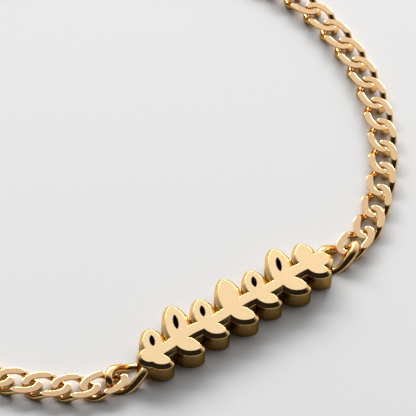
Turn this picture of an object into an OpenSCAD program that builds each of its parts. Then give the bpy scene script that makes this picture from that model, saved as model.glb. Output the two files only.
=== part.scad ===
// Nameplate bracelet, laid flat as a closed loop. Millimetres.
// X runs along the plate, Y points into the loop, Z is up. The origin is the middle of the plate's back.

/* [Nameplate] */
// Thickness of the plate, back to front
plate_t = 2.1; // [1.7:0.1:2.8]
// Width of the bevelled band round the front
bevel = 0.4; // [0.2:0.05:0.45]
// Width of the stem that runs along the plate
stem_w = 1.8; // [1.4:0.1:2.2]
// Distance between the centres of the two end buds
bud_span = 20.7; // [19:0.1:23]
// Radius of the round bud at each end
bud_r = 1.25; // [1.1:0.05:1.5]
// Height of the stem's wave, either way
stem_wave = 0.15; // [0:0.05:0.3]
// How far an eye stands out past its bud
eye_reach = 3.7; // [3.6:0.1:4.2]
// Width of an eye over all
eye_w = 3.3; // [3.2:0.05:3.4]
// Thickness of the eye's wire
eye_wire = 0.9; // [0.8:0.05:0.95]

/* [Leaves] */
// Length of the longest leaf, from the stem's middle to its tip
leaf_l = 4.6; // [4:0.1:5.2]
// Half the width of the widest leaf
leaf_r = 1.4; // [1.1:0.05:1.5]
// Length of the longest lobe, under the stem
lobe_l = 2.9; // [2.4:0.1:3.3]
// Half the width of the widest lobe
lobe_r = 1.2; // [1:0.05:1.35]
// Length of the slit in the longest leaf
slit_l = 1.75; // [1.2:0.05:2]
// Width of each slit
slit_w = 0.44; // [0.3:0.02:0.6]

/* [Chain] */
// Curb links on each side of the plate
side_links = 24; // [22:1:26]
// Length of a link over all
link_l = 4.75; // [4.65:0.05:5]
// Width of a link over all
link_w = 3; // [2.8:0.1:3.4]
// Thickness of the link's wire
wire = 0.7; // [0.64:0.02:0.72]
// Thickness of the chain after its front and back are ground flat
chain_t = 0.95; // [0.85:0.05:1.1]
// Gap between the wires of two links pulled straight
link_gap = 0.28; // [0.24:0.02:0.34]
// Room between the wires of two links where one passes over the other
cross_gap = 0.22; // [0.2:0.02:0.3]
// How far the first link has slid back into the eye
eye_slack = 0.3; // [0.2:0.05:0.4]
// How far each of the first links on the right has slid back into the one before
right_slack = 0.18; // [0.14:0.02:0.3]
// How far each of the first links on the left has slid back into the one before
left_slack = 0.3; // [0.18:0.02:0.32]

/* [Clasp] */
// Distance between the two rings that the clasp joins
clasp_span = 9; // [8:0.5:11]
// Width of the clasp over all
clasp_w = 4.2; // [3.8:0.1:4.8]
// Thickness of the clasp's back
clasp_back = 1.3; // [1:0.05:1.5]
// Thickness of the clasp's gate
clasp_gate = 0.9; // [0.8:0.05:1.1]
// How far the thumb tab stands out of the gate
tab_out = 0.7; // [0.5:0.1:1]

/* [Lay] */
// Turn of the first link off the plate's line, in degrees
first_turn = 14.5; // [8:0.5:20]
// Turn of the second link off the first
second_turn = 21.5; // [8:0.5:22]
// Turn from link to link along the side of the loop
side_turn = 5.4; // [4.6:0.1:5.8]
// How far the plate is turned in the loop
skew = 2.4; // [0:0.2:4]

/* [Hidden] */
function link_name(i) = str("link_", i < 10 ? "0" : "", i);

gold = "#e3b873";
WIRE_SIDES = 6;
WIRE_STATIONS = 16;
DISC_SIDES = 20;
BALL_SIDES = 8;
ARC_SIDES = 72;

// How far a cutter runs past what it cuts
CUT_OVER = 1;

// Lift and drop of a wire of thickness D where it crosses another
function twist(d) = (d + cross_gap) / 2;
// Distance from where a link hooks its neighbour to where it hooks the next
pitch = link_l - 2 * wire - link_gap;
plate_end = bud_span / 2 + bud_r;
eye_joint = plate_end + eye_reach - eye_wire - link_gap / 2 - eye_slack;

// A side of the loop is its curb links and the ring at their end. The first SEEN of them turn
// evenly, and the rest bend in until the last one runs level across the far side of the loop.
side_pieces = side_links + 1;
SEEN = 12;
SLACK_LINKS_RIGHT = 2;
SLACK_LINKS_LEFT = 6;
FAR_HEADING = 177;
SOFTEST_BEND = 0.4;
SHARPEST_BEND = 9;
HALVINGS = 26;

function even_heading(k) = first_turn + (k == 0 ? 0 : second_turn + (k - 1) * side_turn);
function heading(k, bend) =
    let(last = even_heading(SEEN - 1), u = (k - SEEN + 1) / (side_pieces - SEEN))
    k < SEEN ? even_heading(k) : last + (FAR_HEADING - last) * (1 - pow(1 - u, bend));
function slack(side, k) =
    side > 0 ? (k < SLACK_LINKS_RIGHT ? right_slack : 0) : (k < SLACK_LINKS_LEFT ? left_slack : 0);
function step(side, k, bend) =
    let(a = heading(k, bend) - side * skew) (pitch - slack(side, k)) * [side * cos(a), sin(a)];
function joints(side, bend) =
    [for (k = 0, p = [side * eye_joint, 0]; k <= side_pieces; p = p + step(side, k, bend), k = k + 1) p];

// The bend that leaves room for just the clasp between the far ends, found by halving
function far_gap(bend) =
    let(g = joints(1, bend)[side_pieces] - joints(-1, bend)[side_pieces]) sign(g.x) * norm(g);
function solve_bend(low, high, halvings) =
    let(mid = (low + high) / 2)
    halvings == 0 ? mid :
    far_gap(mid) > clasp_span ? solve_bend(mid, high, halvings - 1) : solve_bend(low, mid, halvings - 1);
far_bend = solve_bend(SOFTEST_BEND, SHARPEST_BEND, HALVINGS);
right = joints(1, far_bend);
left = joints(-1, far_bend);

// How much higher the eye's wire lifts than a link's would, as a share of its thickness
EYE_UP = 0.11;

// The stem runs a little below the plate's line, by a share of its width, and waves as it goes
STEM_LOW = 0.11;
STEM_STEPS = 16;
STEM_WAVES = 3.15;
STEM_PHASE = 34;

// Leaves over the stem, and lobes under it. Columns: place as a share of the bud span, length and
// width as shares of the largest, and whether a slit is cut.
AT = 0;
LONG = 1;
WIDE = 2;
SLIT = 3;
LEAVES = [
    [-0.485, 0.74, 0.92, true],
    [-0.345, 1.00, 1.00, true],
    [-0.190, 0.76, 0.93, true],
    [-0.040, 0.94, 0.98, false],
    [0.115, 0.74, 0.92, true],
    [0.260, 1.00, 1.00, true],
    [0.415, 0.70, 0.91, false]
];
LOBES = [
    [-0.500, 0.86, 0.86],
    [-0.345, 1.00, 1.00],
    [-0.185, 0.90, 0.90],
    [-0.030, 1.00, 1.00],
    [0.125, 0.90, 0.90],
    [0.280, 1.00, 1.00],
    [0.430, 0.86, 0.86]
];
// Direction in which a leaf leaves the stem, and how far it curls on from there
LEAF_LEAN = 48;
LEAF_CURL = 30;
LOBE_LEAN = -72;
LOBE_CURL = 34;
ROOT_STEPS = 4;
TIP_STEPS = 6;
// Shares of a leaf's length, from the stem's middle: its root's end, its widest place and the middle
// of its slit. TIP_POWER is how full the leaf stays on its way to the tip.
ROOT_AT = -0.15;
BELLY = 0.45;
SLIT_AT = 0.48;
TIP_POWER = 1.5;

// The thumb tab's place along the gate, its lean as a share of its reach and its end's radius as a share
// of the gate's thickness
TAB_AT = 0.36;
TAB_LEAN = 0.7;
TAB_END = 0.4;
// How suddenly a clasp end's twist fades out where the straight sides begin
FADE_POWER = 12;
END_STEPS = 8;
SIDE_STEPS = 6;

function stem(share) =
    [share * bud_span, -STEM_LOW * stem_w + stem_wave * sin(360 * STEM_WAVES * share + STEM_PHASE)];

// Point at a share U of a leaf's midrib, which is an arc that turns by CURL
function rib(root, l, lean, curl, u) =
    root + l * 180 / (PI * curl) * [sin(lean + curl * u) - sin(lean), cos(lean) - cos(lean + curl * u)];
// Half width of a leaf there: it swells from a round root to its belly and closes to a rounded tip
function half(r, u) =
    u < BELLY ? r * sqrt(1 - pow((BELLY - u) / (BELLY - ROOT_AT), 2))
              : r * sqrt(1 - pow((u - BELLY) / (1 - BELLY), TIP_POWER));
function flank(root, l, lean, curl, r, u, side) =
    let(a = lean + curl * u + side * 90) rib(root, l, lean, curl, u) + half(r, u) * [cos(a), sin(a)];
// Shares of the midrib at which a leaf's edge has a point, closer together near its two ends
EDGE_SHARES = concat(
    [for (k = [1:ROOT_STEPS]) BELLY - (BELLY - ROOT_AT) * cos(90 * k / ROOT_STEPS)],
    [for (k = [1:TIP_STEPS - 1]) BELLY + (1 - BELLY) * sin(90 * k / TIP_STEPS)]
);
function leaf_outline(root, l, lean, curl, r) = concat(
    [rib(root, l, lean, curl, ROOT_AT)],
    [for (u = EDGE_SHARES) flank(root, l, lean, curl, r, u, -1)],
    [rib(root, l, lean, curl, 1)],
    [for (k = [len(EDGE_SHARES) - 1:-1:0]) flank(root, l, lean, curl, r, EDGE_SHARES[k], 1)]
);

// A solid on an outline, with its front edge bevelled to a second outline
module bevelled(outer, inner) {
    n = len(outer);
    points = concat(
        [for (p = outer) [p.x, p.y, 0]],
        [for (p = outer) [p.x, p.y, plate_t - bevel]],
        [for (p = inner) [p.x, p.y, plate_t]]
    );
    faces = concat(
        [[for (k = [0:n - 1]) k]],
        [for (ring = [0:1], k = [0:n - 1])
            [ring * n + k, (ring + 1) * n + k, (ring + 1) * n + (k + 1) % n, ring * n + (k + 1) % n]],
        [[for (k = [n - 1:-1:0]) 2 * n + k]]
    );
    polyhedron(points, faces);
}

module leaf(root, l, lean, curl, r) {
    bevelled(leaf_outline(root, l, lean, curl, r), leaf_outline(root, l - bevel, lean, curl, r - bevel));
}

// A round disc with the plate's thickness and bevel
module disc(r) {
    cylinder(h = plate_t - bevel, r = r, $fn = DISC_SIDES);
    translate([0, 0, plate_t - bevel])
        cylinder(h = bevel, r1 = r, r2 = r - bevel, $fn = DISC_SIDES);
}

module stem_bar() {
    for (k = [0:STEM_STEPS - 1])
        hull()
            for (end = [k, k + 1])
                translate(stem(end / STEM_STEPS - 0.5))
                    disc(stem_w / 2);
}

// Slit through a leaf, a lens of two arcs along the midrib
module slit(root, l) {
    middle = rib(root, l, LEAF_LEAN, LEAF_CURL, SLIT_AT);
    lens_l = slit_l * l / leaf_l;
    arc_r = (lens_l * lens_l + slit_w * slit_w) / (4 * slit_w);
    translate([middle.x, middle.y, -CUT_OVER])
        rotate(LEAF_LEAN + LEAF_CURL * SLIT_AT)
            linear_extrude(plate_t + 2 * CUT_OVER)
                intersection_for (s = [-1, 1])
                    translate([0, s * (arc_r - slit_w / 2)])
                        circle(arc_r, $fn = ARC_SIDES);
}

// Six-sided cross-section of the wire, ground flat above TOP and below BOTTOM of its centre
function section(r, top, bottom) =
    let(
        u = min(top, r * sin(60)), v = min(bottom, r * sin(60)), m = (u - v) / 2,
        wide = sqrt(r * r - m * m), high = sqrt(r * r - u * u), low = sqrt(r * r - v * v)
    )
    [[high, u], [wide, m], [low, -v], [-low, -v], [-wide, m], [-high, u]];

// Share of its lift or drop that an oval's wire has at angle T: a sine, made steeper by DIVE at the two
// ends and turned a little by DIVE_AT. STAY_UP holds more of the wire up, so that it dives only where it
// passes under its neighbour.
DIVE = 1.5;
DIVE_AT = 3;
STAY_UP = 0.3;
function lift(t, stay_up) =
    let(turned = 2 * atan2(DIVE * sin(t), cos(t)), level = (stay_up + sin(DIVE_AT - turned)) / (1 - stay_up))
    sin(90 * min(1, level));

// An oval is a twisted loop of wire: length and width over all, thickness, lift and share that stays up
L = 0;
W = 1;
D = 2;
UP = 3;
STAY = 4;
link_oval = [link_l, link_w, wire, twist(wire), STAY_UP];
eye_oval = [eye_reach + bud_r, eye_w, eye_wire, twist(eye_wire) + EYE_UP * eye_wire, 0];

function oval_at(o, t) =
    [(o[L] - o[D]) / 2 * cos(t), (o[W] - o[D]) / 2 * sin(t), o[UP] * lift(t, o[STAY])];
function oval_way(o, t) = let(way = oval_at(o, t + 1) - oval_at(o, t - 1)) way / norm(way);

// The oval, lying along X round the origin, ground off above HIGH and below -LOW
module twisted_oval(o, high, low) {
    n = WIRE_STATIONS;
    m = WIRE_SIDES;
    points = [for (k = [0:n - 1])
        let(
            t = 360 * k / n, c = oval_at(o, t), way = oval_way(o, t),
            out = [way.y, -way.x, 0] / norm([way.y, -way.x]), up = cross(out, way),
            s = section(o[D] / 2, (high - c.z) / up.z, (low + c.z) / up.z)
        )
        for (q = s) c + q[0] * out + q[1] * up];
    faces = [for (k = [0:n - 1], j = [0:m - 1])
        let(
            next_k = (k + 1) % n, next_j = (j + 1) % m,
            a = k * m + j, b = next_k * m + j, c = next_k * m + next_j, d = k * m + next_j
        )
        for (tri = [[a, b, c], [a, c, d]]) tri];
    polyhedron(points, faces);
}

module at_joints(p, q) {
    translate([(p.x + q.x) / 2, (p.y + q.y) / 2, chain_t / 2])
        rotate(atan2(q.y - p.y, q.x - p.x))
            children();
}

module curb_link(i) {
    k = (i - 1) % side_links;
    side = i <= side_links ? right : left;
    color(gold)
        at_joints(side[k], side[k + 1])
            twisted_oval(link_oval, chain_t / 2, chain_t / 2);
}

// An oval of round wire, flat only where it lies on the table
module round_ring(o) {
    twisted_oval(o, o[UP] + o[D], chain_t / 2);
}

module end_ring(side) {
    color(gold)
        at_joints(side[side_links], side[side_pieces])
            round_ring(link_oval);
}

// The clasp's body is a closed run of round bar: half a link's oval at each end, twisted as a link's
// is, and between them a thick back on one side and a thin gate on the other. U counts 0 to 1 along it.
end_x = (clasp_span + link_l - pitch) / 2 - link_l / 2;
function clasp_end(s, t) =
    [s * (end_x + (link_l - wire) / 2 * cos(t)), s * (link_w - wire) / 2 * sin(t),
     twist(wire) * lift(t, STAY_UP) * (1 - pow(abs(sin(t)), FADE_POWER)), wire / 2];
function clasp_side(s, u) =
    let(swell = pow(sin(180 * u), 2), r = wire / 2 + ((s > 0 ? clasp_back : clasp_gate) - wire) / 2 * swell)
    [s * end_x * (1 - 2 * u), s * ((link_w - wire) / 2 + (clasp_w - link_w) / 2 * swell),
     max(0, r - chain_t / 2), r];
function clasp_run() = concat(
    [for (k = [0:END_STEPS - 1]) clasp_end(1, 180 * k / END_STEPS - 90)],
    [for (k = [0:SIDE_STEPS - 1]) clasp_side(1, k / SIDE_STEPS)],
    [for (k = [0:END_STEPS - 1]) clasp_end(-1, 180 * k / END_STEPS - 90)],
    [for (k = [0:SIDE_STEPS - 1]) clasp_side(-1, k / SIDE_STEPS)]
);

module ball(p) {
    translate([p.x, p.y, p.z])
        sphere(p[3], $fn = BALL_SIDES);
}

module clasp() {
    run = clasp_run();
    n = len(run);
    tab = clasp_side(-1, TAB_AT);
    color(gold)
        at_joints(right[side_pieces], left[side_pieces])
            difference() {
                union() {
                    for (k = [0:n - 1])
                        hull() {
                            ball(run[k]);
                            ball(run[(k + 1) % n]);
                        }
                    hull() {
                        ball(tab);
                        ball([tab.x - TAB_LEAN * tab_out, tab.y - tab_out, tab.z, TAB_END * clasp_gate]);
                    }
                }
                translate([0, 0, -chain_t / 2 - clasp_w])
                    cube([4 * clasp_span, 4 * clasp_w, 2 * clasp_w], center = true);
            }
}

module nameplate() {
    color(gold)
        difference() {
            union() {
                stem_bar();
                for (s = [-0.5, 0.5])
                    translate(stem(s))
                        disc(bud_r);
                for (row = LEAVES)
                    leaf(stem(row[AT]), row[LONG] * leaf_l, LEAF_LEAN, LEAF_CURL, row[WIDE] * leaf_r);
                for (row = LOBES)
                    leaf(stem(row[AT]), row[LONG] * lobe_l, LOBE_LEAN, LOBE_CURL, row[WIDE] * lobe_r);
                for (s = [-1, 1])
                    translate([s * (plate_end + (eye_reach - bud_r) / 2), 0, chain_t / 2])
                        round_ring(eye_oval);
            }
            for (row = LEAVES)
                if (row[SLIT])
                    slit(stem(row[AT]), row[LONG] * leaf_l);
        }
}

nameplate();
clasp();
end_ring(right);  // ring_right
end_ring(left);  // ring_left
for (i = [1:2 * side_links])
    curb_link(i);
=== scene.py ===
# %% [markdown]
# # A nameplate bracelet in polished gold
# The bracelet lies on a pale table as a closed loop: a thick openwork plate with an eye soldered to each
# end, a curb chain of twisted oval links, and a plain clasp on the far side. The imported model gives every
# piece's place. This script gives each one its round wire, its ground facets, its bevels and its polish.

# %% Load the frame
import math

import bmesh
import bpy
import numpy as np
from mathutils import Matrix, Vector


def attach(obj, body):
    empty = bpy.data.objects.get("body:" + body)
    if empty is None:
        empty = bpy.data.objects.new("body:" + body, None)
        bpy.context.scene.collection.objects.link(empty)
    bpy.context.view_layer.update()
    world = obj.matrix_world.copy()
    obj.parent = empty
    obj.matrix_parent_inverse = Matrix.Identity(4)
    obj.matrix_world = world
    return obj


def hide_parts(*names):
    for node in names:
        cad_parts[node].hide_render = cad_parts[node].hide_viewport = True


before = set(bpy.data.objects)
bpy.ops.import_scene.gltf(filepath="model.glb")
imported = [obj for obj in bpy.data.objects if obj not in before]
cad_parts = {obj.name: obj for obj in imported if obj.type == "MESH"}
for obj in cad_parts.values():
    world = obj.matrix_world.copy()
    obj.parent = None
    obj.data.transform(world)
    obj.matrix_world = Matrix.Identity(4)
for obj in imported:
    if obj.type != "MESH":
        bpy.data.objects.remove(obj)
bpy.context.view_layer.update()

MM = 0.001
print("nodes in the frame:", len(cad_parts))

# %% [markdown]
# ## The camera
# The photograph looks down on the table from about a third of a metre away, with a long lens, so lines
# stay nearly parallel. A camera could be aimed with a constraint, but three angles and a distance say the
# same thing in words: how high it stands, which way it looks and how far it leans. The loop, drawn in the
# plate's own axes, then falls where the photograph has it.

# %% Camera
VIEW_HEIGHT = math.radians(47.4)
VIEW_HEADING = math.radians(38.2)
VIEW_ROLL = math.radians(1.2)
VIEW_DISTANCE = 330 * MM
VIEW_TARGET = Vector((6.8, 13.1, 0)) * MM
SENSOR = 36
LENS = 285.6
CLIP_START = 10 * MM

scene = bpy.context.scene
camera = bpy.data.objects.new("camera", bpy.data.cameras.new("camera"))
scene.collection.objects.link(camera)
camera.data.sensor_width = SENSOR
camera.data.lens = LENS
camera.data.clip_start = CLIP_START
turn = (Matrix.Rotation(-VIEW_HEADING, 4, "Z") @ Matrix.Rotation(math.pi / 2 - VIEW_HEIGHT, 4, "X")
        @ Matrix.Rotation(VIEW_ROLL, 4, "Z"))
camera.matrix_world = Matrix.Translation(VIEW_TARGET) @ turn @ Matrix.Translation((0, 0, VIEW_DISTANCE))
scene.camera = camera
print("camera at", [round(c / MM, 1) for c in camera.matrix_world.translation], "mm")

# %% [markdown]
# ## Sizes
# These are the model's own driving sizes, in millimetres, so that each round wire lies round the six-sided
# one that it stands for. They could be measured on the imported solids, but then the reader would never see
# them. T stands for a thickness, L for a length, W for a width and R for a radius. The shapes are modelled
# in millimetres and scaled to metres at the end, because the mesh operators merge points that are too close
# together in metres.

# %% Sizes in millimetres
PLATE_T = 2.1
BEVEL = 0.4
STEM_W = 1.8
BUD_SPAN = 20.7
BUD_R = 1.25
STEM_WAVE = 0.15
EYE_REACH, EYE_W, EYE_WIRE = 3.7, 3.3, 0.9
LEAF_L, LEAF_R = 4.6, 1.4
LOBE_L, LOBE_R = 2.9, 1.2
SLIT_L, SLIT_W = 1.75, 0.44
LINK_L, LINK_W = 4.75, 3.0
WIRE = 0.7
CHAIN_T = 0.95
LINK_GAP, CROSS_GAP = 0.28, 0.22
CLASP_SPAN, CLASP_W = 9.0, 4.2
CLASP_BACK, CLASP_GATE = 1.3, 0.9
TAB_OUT = 0.7

PITCH = LINK_L - 2 * WIRE - LINK_GAP
PLATE_END = BUD_SPAN / 2 + BUD_R
print("pitch of the chain:", round(PITCH, 2), "mm")


# %% [markdown]
# ## From a bmesh to a piece
# Every piece ends the same way: its mesh is scaled to metres, shaded smooth but for its level faces and
# crisp edges, and given its finishes. Its object stays at the origin, with its place in the mesh.

# %% Finish a piece
CRISP = math.radians(32)
LEVEL = 0.9999


def add_piece(bm, name, finishes, nodes):
    """Turns a bmesh in millimetres into an object in metres that rides on the bracelet and replaces NODES."""
    bmesh.ops.scale(bm, vec=(MM, MM, MM), verts=bm.verts[:])
    mesh = bpy.data.meshes.new(name)
    bm.to_mesh(mesh)
    bm.free()
    mesh.set_sharp_from_angle(angle=CRISP)
    for face in mesh.polygons:
        face.use_smooth = abs(face.normal.z) < LEVEL
    for finish in finishes:
        mesh.materials.append(finish)
    piece = bpy.data.objects.new(name, mesh)
    scene.collection.objects.link(piece)
    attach(piece, "root")
    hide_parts(*nodes)
    return piece


# %% [markdown]
# ## Pattern on metal
# Polished metal is never quite even: its shine wanders from place to place and its skin is a few thousandths
# of a millimetre bumpy. A picture of metal could be wrapped round each piece, but noise that is read from
# the piece's own coordinates fits every shape and can't run out. Texture Coordinate's Object output is in
# metres, so each Mapping node scales it to millimetres first.

# %% Noise and bump
PER_MM = 1000
NOISE_DETAIL = 3.0
NOISE_LOW, NOISE_HIGH = 0.3, 0.7


def noise(tree, cells, stretch=(1, 1, 1)):
    """A noise texture with so many CELLS to the millimetre, read from the object's own coordinates."""
    coords = tree.nodes.new("ShaderNodeTexCoord")
    mapping = tree.nodes.new("ShaderNodeMapping")
    mapping.inputs["Scale"].default_value = [PER_MM * cells * s for s in stretch]
    texture = tree.nodes.new("ShaderNodeTexNoise")
    texture.inputs["Scale"].default_value = 1
    texture.inputs["Detail"].default_value = NOISE_DETAIL
    tree.links.new(coords.outputs["Object"], mapping.inputs["Vector"])
    tree.links.new(mapping.outputs["Vector"], texture.inputs["Vector"])
    return texture.outputs["Fac"]


def remap(tree, value, low, high):
    """Spreads the usual range of a noise over LOW to HIGH."""
    node = tree.nodes.new("ShaderNodeMapRange")
    node.inputs["From Min"].default_value = NOISE_LOW
    node.inputs["From Max"].default_value = NOISE_HIGH
    node.inputs["To Min"].default_value = low
    node.inputs["To Max"].default_value = high
    tree.links.new(value, node.inputs["Value"])
    return node.outputs["Result"]


def add_bump(tree, height, depth_mm, below=None):
    """A Bump node that adds HEIGHT, DEPTH_MM deep, over the normal BELOW."""
    bump = tree.nodes.new("ShaderNodeBump")
    bump.inputs["Distance"].default_value = depth_mm * MM
    tree.links.new(height, bump.inputs["Height"])
    if below is not None:
        tree.links.new(below, bump.inputs["Normal"])
    return bump.outputs["Normal"]


print("noise is read in millimetres, at", PER_MM, "to the metre")

# %% [markdown]
# ## Gold finishes
# The bracelet is of one alloy, but each surface shows what was done to it: round wire and bevels polished
# bright, facets ground with a fine grain and a satin front. The walls are rougher and darker, and their
# darker colour is painted shade for the shadowed table that they mirror. One material could be mixed from
# masks, but five plain ones are easier to read. The real metal stays golden where light grazes it, so
# Specular Tint, which colours such glancing reflections, gets the gold's own colour too.

# %% Gold
PALE_GOLD = (0.89, 0.65, 0.37, 1)
FACET_GOLD = (0.71, 0.475, 0.275, 1)
RICH_GOLD = (0.90, 0.60, 0.26, 1)
# The walls' gold below is darker than the rest: painted shade for the shadowed table that they mirror.
PAINTED_SHADE_GOLD = (0.48, 0.29, 0.09, 1)
TINT_DROP = 0.95
TINT_CELLS, ROUGH_CELLS = 0.7, 2.5


def gold(name, color, rough_low, rough_high, bumps):
    """Gold whose roughness wanders between two values, with BUMPS: cells per mm, stretch and depth."""
    material = bpy.data.materials.new(name)
    material.use_nodes = True
    tree = material.node_tree
    shader = tree.nodes["Principled BSDF"]
    shader.inputs["Metallic"].default_value = 1
    tint = tree.nodes.new("ShaderNodeMix")
    tint.data_type = "RGBA"
    tint.inputs["A"].default_value = [c * TINT_DROP for c in color[:3]] + [1]
    tint.inputs["B"].default_value = color
    tree.links.new(noise(tree, TINT_CELLS), tint.inputs["Factor"])
    tree.links.new(tint.outputs["Result"], shader.inputs["Base Color"])
    shader.inputs["Specular Tint"].default_value = color
    wander = remap(tree, noise(tree, ROUGH_CELLS), rough_low, rough_high)
    tree.links.new(wander, shader.inputs["Roughness"])
    normal = None
    for cells, stretch, depth in bumps:
        normal = add_bump(tree, noise(tree, cells, stretch), depth, normal)
    tree.links.new(normal, shader.inputs["Normal"])
    return material


EVEN, UPRIGHT = (1, 1, 1), (1, 1, 0.12)
bright_gold = gold("bright gold wire", RICH_GOLD, 0.09, 0.15, [(1.2, EVEN, 0.003), (9, EVEN, 0.0005)])
ground_gold = gold("ground gold facets", FACET_GOLD, 0.12, 0.18, [(1.0, EVEN, 0.002), (4.5, EVEN, 0.004)])
satin_gold = gold("satin gold front", PALE_GOLD, 0.16, 0.20, [(0.6, EVEN, 0.003), (13, EVEN, 0.0007)])
edge_gold = gold("bright gold bevel", RICH_GOLD, 0.09, 0.14, [(1.5, EVEN, 0.002), (9, EVEN, 0.0005)])
# The sides' finish: a darker colour as painted shade, with a rougher skin and an upright grain.
painted_shade_sides = gold("gold sides with painted shade", PAINTED_SHADE_GOLD, 0.20, 0.30, [(1.5, EVEN, 0.003), (7, UPRIGHT, 0.0015)])
print("gold finishes:", [m.name for m in (bright_gold, ground_gold, satin_gold, edge_gold, painted_shade_sides)])

# %% [markdown]
# ## Bent wire
# A link starts as a straight length of round wire that is bent into an oval, soldered and twisted, so that
# it lies flat where its neighbours cross it. A curve with some bevel depth would give such a wire, but it
# would have to be made a mesh before it is ground. So a circle is spun once round an axis, which gives a
# plain ring with perfect cross-sections, and each point is moved to its place round the real wire's middle
# line. The angle round the plain ring says where along the wire it is.

# %% Spin a ring and bend it
SPIN_R = 10
SMALL_TURN = 1e-3


def spun_ring(stations, sides):
    """A plain ring of wire of radius 1 round Z, made by spinning a circle."""
    bm = bmesh.new()
    upright = Matrix.Translation((SPIN_R, 0, 0)) @ Matrix.Rotation(math.pi / 2, 4, "X")
    bmesh.ops.create_circle(bm, segments=sides, radius=1, matrix=upright)
    bmesh.ops.spin(bm, geom=bm.verts[:] + bm.edges[:], cent=(0, 0, 0), axis=(0, 0, 1),
                   angle=2 * math.pi, steps=stations, use_merge=True)
    bmesh.ops.recalc_face_normals(bm, faces=bm.faces[:])
    return bm


def bend(bm, middle, radius):
    """Moves a spun ring's points round the closed line MIDDLE(t), with the wire's RADIUS(t) there."""
    for v in bm.verts:
        t = math.atan2(v.co.y, v.co.x)
        out_by, up_by = math.hypot(v.co.x, v.co.y) - SPIN_R, v.co.z
        way = (middle(t + SMALL_TURN) - middle(t - SMALL_TURN)).normalized()
        out = Vector((way.y, -way.x, 0)).normalized()
        v.co = middle(t) + radius(t) * (out_by * out + up_by * out.cross(way))


print("a plain ring is spun", SPIN_R, "times as wide as its wire is thick")

# %% [markdown]
# ## Twist
# A twisted link isn't a plain saddle. Each of its sides stays high for a long stretch, where it will be
# ground, and then dives steeply to pass under the next link. A list of heights could say that, but one
# formula gives the lift of every link, ring, eye and clasp end, so that all of them hook into each other in
# the same way. DIVE makes the way down steeper, DIVE_AT turns it a little round the link, STAY_UP makes the
# high stretch longer, and EYE_UP is the share of its wire that an eye is lifted more.

# %% Twisted ovals
DIVE, DIVE_AT, STAY_UP = 1.5, math.radians(3), 0.36
EYE_UP = 0.11


def twist(wire):
    """Lift or drop of a wire where it crosses another."""
    return (wire + CROSS_GAP) / 2


def lift(t, stay_up=STAY_UP):
    """Share of its lift, from -1 to 1, that an oval's wire has at the angle T."""
    turned = 2 * math.atan2(DIVE * math.sin(t), math.cos(t))
    level = (stay_up + math.sin(DIVE_AT - turned)) / (1 - stay_up)
    return math.sin(math.pi / 2 * min(1, level))


def oval(length, width, wire, up, stay_up):
    """A function that gives the middle of an oval's wire at any angle."""
    def middle(t):
        """The middle of the wire at the angle T."""
        return Vector(((length - wire) / 2 * math.cos(t), (width - wire) / 2 * math.sin(t),
                       up * lift(t, stay_up)))
    return middle


print("a link's wire is lifted and dropped by", round(twist(WIRE), 2), "mm")

# %% [markdown]
# ## Ground facets
# A curb chain is held against a wheel until its twisted links are flat at the front and back. A Boolean with
# a wide block would cut them, but a level plane cuts them exactly and gives back the edges of its cut. The
# cut is closed, and a narrow rim round the new facet is left a hair lower, as polishing leaves it. Points of
# the cut that lie too close are merged first, in the order of their places, so that every run merges the
# same ones. The facets keep flat shading and a finish of their own.

# %% Grind
RIM_W, RIM_DROP = 0.045, 0.014
ON_PLANE, RIM_MERGE = 1e-5, 0.006
WIRE_STATIONS, WIRE_SIDES = 96, 16
FACET = 1


def grind(bm, level, up):
    """Cuts away what lies past LEVEL, up or down, and closes each cut with a flat facet with a soft rim."""
    cut = bmesh.ops.bisect_plane(bm, geom=bm.verts[:] + bm.edges[:] + bm.faces[:], dist=ON_PLANE,
                                 plane_co=(0, 0, level - up * RIM_DROP), plane_no=(0, 0, up),
                                 clear_outer=True)
    rim = [g for g in cut["geom_cut"] if isinstance(g, bmesh.types.BMEdge)]
    rim_points = sorted({v for e in rim for v in e.verts}, key=lambda v: v.co[:])
    bmesh.ops.remove_doubles(bm, verts=rim_points, dist=RIM_MERGE)
    rim = [e for e in bm.edges if e.is_boundary]
    facets = bmesh.ops.holes_fill(bm, edges=rim)["faces"]
    bmesh.ops.recalc_face_normals(bm, faces=bm.faces[:])
    bmesh.ops.inset_individual(bm, faces=facets, thickness=RIM_W, depth=RIM_DROP, use_even_offset=True)
    return facets


def wire_piece(middle, radius, top, bottom, stations=WIRE_STATIONS, sides=WIRE_SIDES):
    """Bent wire with its back ground at BOTTOM and, if TOP isn't None, its front ground too."""
    bm = spun_ring(stations, sides)
    bend(bm, middle, radius)
    facets = grind(bm, bottom, -1)
    if top is not None:
        facets += grind(bm, top, 1)
    for face in facets:
        face.material_index = FACET
    return bm


print("a chain", CHAIN_T, "mm thick is ground from wire twisted to", round(WIRE + 2 * twist(WIRE), 2), "mm")

# %% [markdown]
# ## One link, one ring, one eye
# All links are alike, and so are both rings and both eyes. Each kind is made once, lying at the origin, and
# copied to its places later. Only the links are ground on both sides: a ring and an eye keep their round
# front, and their backs are level so that they lie flat.

# %% Link, ring and eye
link_middle = oval(LINK_L, LINK_W, WIRE, twist(WIRE), STAY_UP)
eye_middle = oval(EYE_REACH + BUD_R, EYE_W, EYE_WIRE, twist(EYE_WIRE) + EYE_UP * EYE_WIRE, 0)
master_link = wire_piece(link_middle, lambda t: WIRE / 2, CHAIN_T / 2, -CHAIN_T / 2)
master_ring = wire_piece(link_middle, lambda t: WIRE / 2, None, -CHAIN_T / 2)
master_eye = wire_piece(eye_middle, lambda t: EYE_WIRE / 2, None, -CHAIN_T / 2)
facet_faces = [f for f in master_link.faces if f.material_index == FACET]
print("a link has", len(master_link.faces), "faces and", len(facet_faces), "facets")

# %% [markdown]
# ## Links in their places
# A place could be typed in for each link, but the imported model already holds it: the middle of
# a link is the mean of its points, and its heading is the direction in which those points spread most. A
# half turn leaves a link as it was, so either end may lead.

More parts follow.
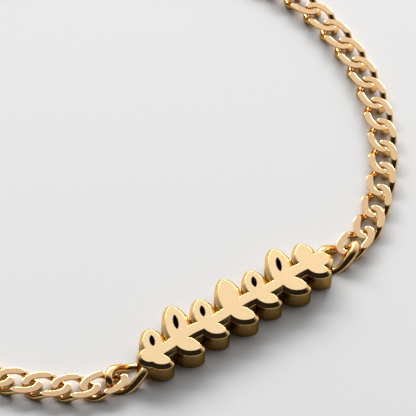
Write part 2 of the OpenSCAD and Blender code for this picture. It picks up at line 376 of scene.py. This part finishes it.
# %% Place the chain
SIDE_LINKS = sum(name.startswith("link_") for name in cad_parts) // 2
SIDES = {"right": range(1, SIDE_LINKS + 1), "left": range(SIDE_LINKS + 1, 2 * SIDE_LINKS + 1)}
DECIMALS = 3


def points_of(node):
    """The node's own points in millimetres, each one once."""
    points = np.array([v.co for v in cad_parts[node].data.vertices]) / MM
    return np.unique(points.round(DECIMALS), axis=0)


def middle_of(node):
    """The mean of the node's points, seen from above."""
    return Vector(points_of(node)[:, :2].mean(axis=0))


def heading_of(node):
    """The direction in which the node's points spread most, seen from above."""
    flat = points_of(node)[:, :2]
    spread = np.linalg.svd(flat - flat.mean(axis=0), full_matrices=False)[2][0]
    return Vector(spread)


def lay(bm, middle, heading):
    """A copy of BM, moved from the origin to MIDDLE and turned from +X to HEADING, at the chain's height."""
    copy = bm.copy()
    place = Matrix.Translation((middle.x, middle.y, CHAIN_T / 2)) @ Matrix.Rotation(
        math.atan2(heading.y, heading.x), 4, "Z")
    bmesh.ops.transform(copy, matrix=place, verts=copy.verts[:])
    return copy


for side, numbers in SIDES.items():
    for i in numbers:
        node = f"link_{i:02d}"
        bm = lay(master_link, middle_of(node), heading_of(node))
        add_piece(bm, f"curb_link_{i:02d}", [bright_gold, ground_gold], [node])

# %% [markdown]
# ## End rings
# A ring of plain round wire ends each side of the chain. Its middle is known in the same way, and it
# points from where the last link holds it to its middle, then on by as much to where the clasp hooks in.

# %% End rings
hooks = []
for side, numbers in SIDES.items():
    last = f"link_{numbers[-1]:02d}"
    before = f"link_{numbers[-2]:02d}"
    node = f"ring_{side}"
    onward = (middle_of(last) - middle_of(before)).normalized()
    along = heading_of(last)
    if along.dot(onward) < 0:
        along = -along
    held_at = middle_of(last) + PITCH / 2 * along
    heading = middle_of(node) - held_at
    bm = lay(master_ring, middle_of(node), heading)
    ring = add_piece(bm, f"end_ring_{side}", [bright_gold, ground_gold], [node])
    hooks.append(middle_of(node) + heading)
print("the clasp joins two rings", round((hooks[1] - hooks[0]).length, 2), "mm apart")

# %% [markdown]
# ## The clasp
# The clasp is cast: a hook with a thick back, closed by a thin gate with a thumb tab. It could be put
# together from a hook and a lever, but it never opens here. As one closed run of round bar it is made as the
# links are, with a radius that swells along the back and the gate. Each end follows a link's own twisted
# oval, so a ring sits in it as a link would.

# %% Clasp
END_SHARE = 1 / 3
END_X = (CLASP_SPAN + LINK_L - PITCH) / 2 - LINK_L / 2
FADE_POWER = 12
CLASP_STATIONS, CLASP_SIDES = 160, 24


def clasp_bar(t):
    """Middle and radius of the clasp's bar at the angle T."""
    share = (t / (2 * math.pi)) % 1
    half = 1 if share < 0.5 else -1
    share = share % 0.5
    if share < END_SHARE:
        a = math.pi * (share / END_SHARE - 0.5)
        middle = Vector((half * (END_X + (LINK_L - WIRE) / 2 * math.cos(a)),
                         half * (LINK_W - WIRE) / 2 * math.sin(a),
                         twist(WIRE) * lift(a) * (1 - abs(math.sin(a)) ** FADE_POWER)))
        return middle, WIRE / 2
    u = (share - END_SHARE) / (0.5 - END_SHARE)
    swell = math.sin(math.pi * u) ** 2
    thick = CLASP_BACK if half > 0 else CLASP_GATE
    radius = WIRE / 2 + (thick - WIRE) / 2 * swell
    middle = Vector((half * END_X * (1 - 2 * u),
                     half * ((LINK_W - WIRE) / 2 + (CLASP_W - LINK_W) / 2 * swell),
                     max(0, radius - CHAIN_T / 2)))
    return middle, radius


clasp_bm = wire_piece(lambda t: clasp_bar(t)[0], lambda t: clasp_bar(t)[1], None, -CHAIN_T / 2,
                      CLASP_STATIONS, CLASP_SIDES)
print("the clasp's bar has", len(clasp_bm.faces), "faces")

# %% [markdown]
# The thumb tab is an egg of metal that sticks out of the gate. It could be spun or grown out of the gate's
# faces, but it is cast on as a lump of its own, so a stretched sphere whose root lies inside the gate says
# the same.

# %% Clasp tab
TAB_AT, TAB_LEAN, TAB_END = 0.36, 0.7, 0.4
TAB_SEGMENTS, TAB_RINGS = 32, 20

gate_middle = clasp_bar(2 * math.pi * (0.5 + END_SHARE + TAB_AT * (0.5 - END_SHARE)))[0]
tab_way = Vector((-TAB_LEAN * TAB_OUT, -TAB_OUT, 0))
tab_r = TAB_END * CLASP_GATE
tab_turn = tab_way.to_track_quat("Z", "Y").to_matrix().to_4x4()
bmesh.ops.create_uvsphere(clasp_bm, u_segments=TAB_SEGMENTS, v_segments=TAB_RINGS, radius=tab_r,
                          matrix=Matrix.Translation(gate_middle + tab_way / 2) @ tab_turn
                          @ Matrix.Diagonal((1, 1, 1 + tab_way.length / 2 / tab_r, 1)))
clasp = add_piece(lay(clasp_bm, (hooks[0] + hooks[1]) / 2, hooks[1] - hooks[0]), "lobster_clasp",
                  [bright_gold, ground_gold], ["clasp"])
print("the clasp is", [round(d / MM, 1) for d in clasp.dimensions], "mm")

# %% [markdown]
# ## The plate: leaves
# The plate is sawn from thick sheet, its front edge is bevelled all round, and two eyes are soldered to its
# ends. A leaf could be drawn point by point, but a disc has just the points that its edge needs: each one is
# moved to a place along the leaf's curved midrib, and out from there by the leaf's half width.

# %% Leaf shapes
AT, LONG, WIDE, SLIT = range(4)
LEAVES = [
    (-0.485, 0.74, 0.92, True),
    (-0.345, 1.00, 1.00, True),
    (-0.190, 0.76, 0.93, True),
    (-0.040, 0.94, 0.98, False),
    (0.115, 0.74, 0.92, True),
    (0.260, 1.00, 1.00, True),
    (0.415, 0.70, 0.91, False),
]
LOBES = [
    (-0.500, 0.86, 0.86),
    (-0.345, 1.00, 1.00),
    (-0.185, 0.90, 0.90),
    (-0.030, 1.00, 1.00),
    (0.125, 0.90, 0.90),
    (0.280, 1.00, 1.00),
    (0.430, 0.86, 0.86),
]
LEAF_LEAN, LEAF_CURL = math.radians(48), math.radians(30)
LOBE_LEAN, LOBE_CURL = math.radians(-72), math.radians(34)
ROOT_AT, BELLY, SLIT_AT = -0.15, 0.45, 0.48
ROOT_POWER, TIP_POWER = 2, 1.5
STEM_Y, STEM_WAVES, STEM_PHASE = -0.11 * STEM_W, 3.15, math.radians(34)
LEAF_POINTS, BUD_POINTS, STEM_SEGMENTS = 120, 72, 44


def stem(share):
    """Middle of the stem at a SHARE of the bud span, from -0.5 to 0.5."""
    wave = math.sin(2 * math.pi * STEM_WAVES * share + STEM_PHASE)
    return Vector((share * BUD_SPAN, STEM_Y + STEM_WAVE * wave, 0))


def rib(root, length, lean, curl, u):
    """Point at a share U of a leaf's midrib, an arc that leaves ROOT at LEAN and turns by CURL."""
    end = lean + curl * u
    return root + length / curl * Vector((math.sin(end) - math.sin(lean), math.cos(lean) - math.cos(end), 0))


def leaf_disc(root, length, lean, curl, r):
    """A flat leaf: a disc whose points are moved out to the leaf's edge, from its round root to its tip."""
    bm = bmesh.new()
    bmesh.ops.create_circle(bm, segments=LEAF_POINTS, radius=1, cap_ends=True)
    for v in bm.verts:
        towards_tip = v.co.x > 0
        u = BELLY + v.co.x * ((1 - BELLY) if towards_tip else (BELLY - ROOT_AT))
        power = TIP_POWER if towards_tip else ROOT_POWER
        reach = r * math.sqrt(max(0, 1 - abs(v.co.x) ** power))
        across = lean + curl * u + math.copysign(math.pi / 2, v.co.y)
        v.co = rib(root, length, lean, curl, u) + reach * Vector((math.cos(across), math.sin(across), 0))
    return bm


print("the spray has", len(LEAVES), "leaves above its stem and", len(LOBES), "lobes below it")

# %% [markdown]
# ## The plate: thickness and bevel
# Every sawn part of the plate gets its thickness and bevel in the same way: its flat shape is extruded
# upwards, and then the front is inset again and again along a profile between a flat chamfer and a quarter
# round. A Bevel modifier on the finished plate would do it in one go, but it stumbles over the sharp
# corners between two leaves, where these insets simply meet in a crisp valley.

# %% Thick shapes with a bevel
# DARK is the walls' finish, whose darker colour is painted shade.
SATIN, BRIGHT, DARK = range(3)
PLATE_FINISHES = [satin_gold, edge_gold, painted_shade_sides]
EDGE_R, EDGE_STEPS = 0.13, 5
CREST_R, CREST_STEPS = 0.05, 2


def eighth_turn(steps):
    """Angles from 0 to 45 degrees, in equal STEPS."""
    return [math.pi / 4 * k / steps for k in range(steps + 1)]


def bevel_profile():
    """The bevel's points, inwards and upwards from the wall: a soft edge, a plain slope and a crisp crest."""
    edge = [Vector((EDGE_R * (1 - math.cos(a)), EDGE_R * math.sin(a))) for a in eighth_turn(EDGE_STEPS)]
    crest = [Vector((BEVEL - CREST_R * math.sin(a), BEVEL - CREST_R * (1 - math.cos(a))))
             for a in reversed(eighth_turn(CREST_STEPS))]
    return edge + crest


def paint(faces, finish):
    """Gives all of FACES one finish."""
    for face in faces:
        face.material_index = finish


def thicken(bm, back=0.0):
    """Extrudes a flat shape upwards, bevels its front's rim and levels its front and back exactly."""
    bottom = bm.faces[:]
    raised = bmesh.ops.extrude_face_region(bm, geom=bottom)["geom"]
    top = [g for g in raised if isinstance(g, bmesh.types.BMFace)]
    top_points = [g for g in raised if isinstance(g, bmesh.types.BMVert)]
    bmesh.ops.translate(bm, vec=(0, 0, PLATE_T - BEVEL), verts=top_points)
    bmesh.ops.recalc_face_normals(bm, faces=bm.faces[:])
    walls = [f for f in bm.faces if f not in top and f not in bottom]
    profile = bevel_profile()
    for here, on in zip(profile, profile[1:]):
        bmesh.ops.inset_region(bm, faces=top, thickness=on.x - here.x, depth=on.y - here.y,
                               use_even_offset=True, use_boundary=True)
    for level, faces in ((PLATE_T, top), (back, bottom)):
        for v in {v for f in faces for v in f.verts}:
            v.co.z = level
    paint(bm.faces, BRIGHT)
    # The walls get the darker finish, which is painted shade.
    paint(walls, DARK)
    paint(top, SATIN)
    return bm


def stem_strip():
    """The stem as a long grid, bent to its wave."""
    bm = bmesh.new()
    bmesh.ops.create_grid(bm, x_segments=STEM_SEGMENTS, y_segments=1, size=0.5)
    for v in bm.verts:
        v.co = stem(v.co.x) + Vector((0, v.co.y * STEM_W, 0))
    return bm


def bud_disc(side):
    """A flat round bud at the stem's end on SIDE, -1 or 1."""
    bm = bmesh.new()
    bmesh.ops.create_circle(bm, segments=BUD_POINTS, radius=BUD_R, cap_ends=True,
                            matrix=Matrix.Translation(stem(side * 0.5)))
    return bm


print("the bevel is drawn with", len(bevel_profile()), "points")

# %% [markdown]
# ## The plate: slits
# A narrow slit is sawn through most leaves, and its front edge is broken with a tiny chamfer. The slit could
# be left out of the flat leaf from the start, but cut last it also goes through what lies next to the leaf.
# The cutter is a lens-shaped disc, made thick, that widens a little where it passes the front.

# %% Slit cutters
SLIT_CHAMFER = 0.06
SLIT_POINTS, SLIT_POWER = 56, 1.5
CUT_OVER = 0.5
STRAIGHT = Vector((1, 1, 1))


def slit_cutter(root, length):
    """A solid to cut a slit with, through the middle of a leaf."""
    bm = bmesh.new()
    bmesh.ops.create_circle(bm, segments=SLIT_POINTS, radius=1, cap_ends=True)
    lens_l = SLIT_L * length / LEAF_L
    for v in bm.verts:
        v.co = Vector((v.co.x * lens_l / 2, math.copysign(abs(v.co.y) ** SLIT_POWER, v.co.y) * SLIT_W / 2, 0))
    bmesh.ops.translate(bm, vec=(0, 0, -CUT_OVER), verts=bm.verts[:])
    rim = bm.edges[:]
    wider = Vector((1 + 2 * SLIT_CHAMFER / lens_l, 1 + 2 * SLIT_CHAMFER / SLIT_W, 1))
    for rise, spread in ((CUT_OVER + PLATE_T - SLIT_CHAMFER, STRAIGHT),
                         (SLIT_CHAMFER, wider), (CUT_OVER, wider)):
        raised = bmesh.ops.extrude_edge_only(bm, edges=rim)["geom"]
        rim = [g for g in raised if isinstance(g, bmesh.types.BMEdge)]
        points = [g for g in raised if isinstance(g, bmesh.types.BMVert)]
        bmesh.ops.translate(bm, vec=(0, 0, rise), verts=points)
        bmesh.ops.scale(bm, vec=spread, verts=points)
    bmesh.ops.holes_fill(bm, edges=rim)
    # The slit's walls get the darker finish too, which is painted shade.
    paint(bm.faces, DARK)
    lean = LEAF_LEAN + LEAF_CURL * SLIT_AT
    middle = rib(root, length, LEAF_LEAN, LEAF_CURL, SLIT_AT)
    place = Matrix.Translation(middle) @ Matrix.Rotation(lean, 4, "Z")
    bmesh.ops.transform(bm, matrix=place, verts=bm.verts[:])
    bmesh.ops.recalc_face_normals(bm, faces=bm.faces[:])
    return bm


print("the longest slit is", SLIT_L, "mm long and", SLIT_W, "mm wide")

# %% [markdown]
# ## The plate: Booleans
# The parts are soldered into one piece of metal, so they are joined with Boolean unions and the slits are
# cut with differences. All the parts could go into one modifier as a collection, but one modifier after the
# other, each applied before the next, gives a cleaner mesh here.

# %% Boolean helpers


def solid(bm, name):
    """An object with the plate's finishes, for the Boolean modifiers to work on."""
    mesh = bpy.data.meshes.new(name)
    bm.to_mesh(mesh)
    bm.free()
    for finish in PLATE_FINISHES:
        mesh.materials.append(finish)
    thing = bpy.data.objects.new(name, mesh)
    scene.collection.objects.link(thing)
    return thing


def combine(base, others, operation):
    """Applies one Boolean per object of OTHERS to BASE, and removes them."""
    for other in others:
        step = base.modifiers.new("combine", "BOOLEAN")
        step.operation = operation
        step.solver = "EXACT"
        step.object = other
        bpy.context.view_layer.update()
        depsgraph = bpy.context.evaluated_depsgraph_get()
        result = bpy.data.meshes.new_from_object(base.evaluated_get(depsgraph))
        base.modifiers.clear()
        old, base.data = base.data, result
        bpy.data.meshes.remove(old)
        bpy.data.objects.remove(other)


print("the plate has", len(PLATE_FINISHES), "finishes")

# %% [markdown]
# ## The plate: one solid
# All the fronts are level, so that they join into one face of metal. The backs could be level too, but where
# several level backs overlap the exact solver sometimes leaves a tiny hole, and not the same one each time.
# So the backs lie a few thousandths of a millimetre apart, which is too little to see.

# %% Join and cut
LEAF_BACK, LOBE_BACK, BUD_BACK, EYE_BACK = 0.003, 0.006, 0.009, 0.012
EYE_X = PLATE_END + (EYE_REACH - BUD_R) / 2

parts = [solid(thicken(bud_disc(side), BUD_BACK), "bud") for side in (-1, 1)]
for row in LEAVES:
    shape = leaf_disc(stem(row[AT]), row[LONG] * LEAF_L, LEAF_LEAN, LEAF_CURL, row[WIDE] * LEAF_R)
    parts.append(solid(thicken(shape, LEAF_BACK), "leaf"))
for row in LOBES:
    shape = leaf_disc(stem(row[AT]), row[LONG] * LOBE_L, LOBE_LEAN, LOBE_CURL, row[WIDE] * LOBE_R)
    parts.append(solid(thicken(shape, LOBE_BACK), "lobe"))
for side in (-1, 1):
    eye = master_eye.copy()
    bmesh.ops.translate(eye, vec=(side * EYE_X, 0, CHAIN_T / 2 + EYE_BACK), verts=eye.verts[:])
    paint(eye.faces, BRIGHT)
    parts.append(solid(eye, "eye"))
cutters = [solid(slit_cutter(stem(row[AT]), row[LONG] * LEAF_L), "cutter") for row in LEAVES if row[SLIT]]
plate_thing = solid(thicken(stem_strip()), "stem")
combine(plate_thing, parts, "UNION")
combine(plate_thing, cutters, "DIFFERENCE")
print("the joined plate has", len(plate_thing.data.polygons), "faces")

# %% [markdown]
# ## The plate: finishes
# Each part was painted before it was joined: satin for its front, bright for its bevel and its back, and dark
# for its walls, a painted shade. The joined plate could be painted by the direction of its faces, but the
# Booleans carry the parts' own marks over. All that is left is to merge the points that the Booleans doubled,
# in the order of their places so that every run merges them alike, and to drop the few edges that have no
# face.

# %% Plate finishes
DOUBLED = 0.0005

plate_bm = bmesh.new()
plate_bm.from_mesh(plate_thing.data)
bpy.data.objects.remove(plate_thing)
by_place = sorted(plate_bm.verts, key=lambda v: v.co[:])
bmesh.ops.remove_doubles(plate_bm, verts=by_place, dist=DOUBLED)
bare_edges = [e for e in plate_bm.edges if not e.link_faces]
bmesh.ops.delete(plate_bm, geom=bare_edges, context="EDGES")
open_edges = [e for e in plate_bm.edges if not e.is_manifold]
print("bare edges dropped:", len(bare_edges), "open edges left:", len(open_edges))
plate = add_piece(plate_bm, "leafy_plate", PLATE_FINISHES, ["nameplate"])
for spare in (master_link, master_ring, master_eye, clasp_bm):
    spare.free()
print("the plate is", [round(d / MM, 2) for d in plate.dimensions], "mm")

# %% [markdown]
# ## The table
# The bracelet lies on a plain pale board with no visible edge. A curved backdrop could hide the horizon, but
# the camera looks down and never sees it, so one wide plane at the level of the bracelet's back will do.

# %% Table
TABLE_SIZE = 2.0
TABLE_COLOR, TABLE_ROUGH = (0.93, 0.93, 0.93, 1), 0.75

table_bm = bmesh.new()
bmesh.ops.create_grid(table_bm, x_segments=1, y_segments=1, size=TABLE_SIZE / 2)
table_mesh = bpy.data.meshes.new("table")
table_bm.to_mesh(table_mesh)
table_bm.free()
table = bpy.data.objects.new("table", table_mesh)
scene.collection.objects.link(table)
pale = bpy.data.materials.new("pale table")
pale.use_nodes = True
pale_shader = pale.node_tree.nodes["Principled BSDF"]
pale_shader.inputs["Base Color"].default_value = TABLE_COLOR
pale_shader.inputs["Roughness"].default_value = TABLE_ROUGH
table_mesh.materials.append(pale)
print("the table is", TABLE_SIZE, "m wide")

# %% [markdown]
# ## Light
# A wide, low window light stands behind the bracelet as the camera sees it, a little to the left, and draws
# soft shadows towards the camera. A small lamp would draw hard ones, and the gold would mirror it as a dot.
# This one's wide face, mirrored in round wire and bevels, gives the bright upper rims.

# %% Window
WINDOW_HEADING, WINDOW_HEIGHT = math.radians(-8), math.radians(25)
WINDOW_DISTANCE = 1.0
WINDOW_W, WINDOW_H = 1.2, 0.3
WINDOW_RADIANCE = 11.8

lamp = bpy.data.lights.new("window", "AREA")
lamp.shape = "RECTANGLE"
lamp.size = WINDOW_W
lamp.size_y = WINDOW_H
lamp.energy = WINDOW_RADIANCE * math.pi * WINDOW_W * WINDOW_H
window = bpy.data.objects.new("window", lamp)
scene.collection.objects.link(window)
bearing = math.pi / 2 - VIEW_HEADING - WINDOW_HEADING
away = Vector((math.cos(bearing) * math.cos(WINDOW_HEIGHT), math.sin(bearing) * math.cos(WINDOW_HEIGHT),
               math.sin(WINDOW_HEIGHT)))
facing = away.to_track_quat("Z", "Y").to_matrix().to_4x4()
window.matrix_world = Matrix.Translation(VIEW_TARGET + WINDOW_DISTANCE * away) @ facing

# %% [markdown]
# ## The room
# The rest of the light comes from the room. Its far side, turned a little to the right, is pale, and the
# ground faces mirror it. Its near side is dark, which is what makes the edges that face the camera look
# black. More lamps could say the same, but one direction and a smooth step from dark to pale say it without
# a visible border.

# %% Room
ROOM_DARK, ROOM_PALE = 0.02, 1.2
DARK_BELOW, PALE_ABOVE = -0.2, 0.95
PALE_TURN = math.radians(10)
PALE_HEADING = VIEW_HEADING + PALE_TURN

world = bpy.data.worlds.new("room")
scene.world = world
world.use_nodes = True
room = world.node_tree
way = room.nodes.new("ShaderNodeTexCoord")
ahead = room.nodes.new("ShaderNodeVectorMath")
ahead.operation = "DOT_PRODUCT"
ahead.inputs[1].default_value = (math.sin(PALE_HEADING), math.cos(PALE_HEADING), 0)
step = room.nodes.new("ShaderNodeMapRange")
step.interpolation_type = "SMOOTHSTEP"
step.inputs["From Min"].default_value = DARK_BELOW
step.inputs["From Max"].default_value = PALE_ABOVE
step.inputs["To Min"].default_value = ROOM_DARK
step.inputs["To Max"].default_value = ROOM_PALE
room.links.new(way.outputs["Generated"], ahead.inputs[0])
room.links.new(ahead.outputs["Value"], step.inputs["Value"])
background = room.nodes["Background"]
background.inputs["Color"].default_value = (1, 1, 1, 1)
room.links.new(step.outputs["Result"], background.inputs["Strength"])
scene.view_settings.view_transform = "Standard"
print("the room goes from", ROOM_DARK, "near the camera to", ROOM_PALE, "at the far side")
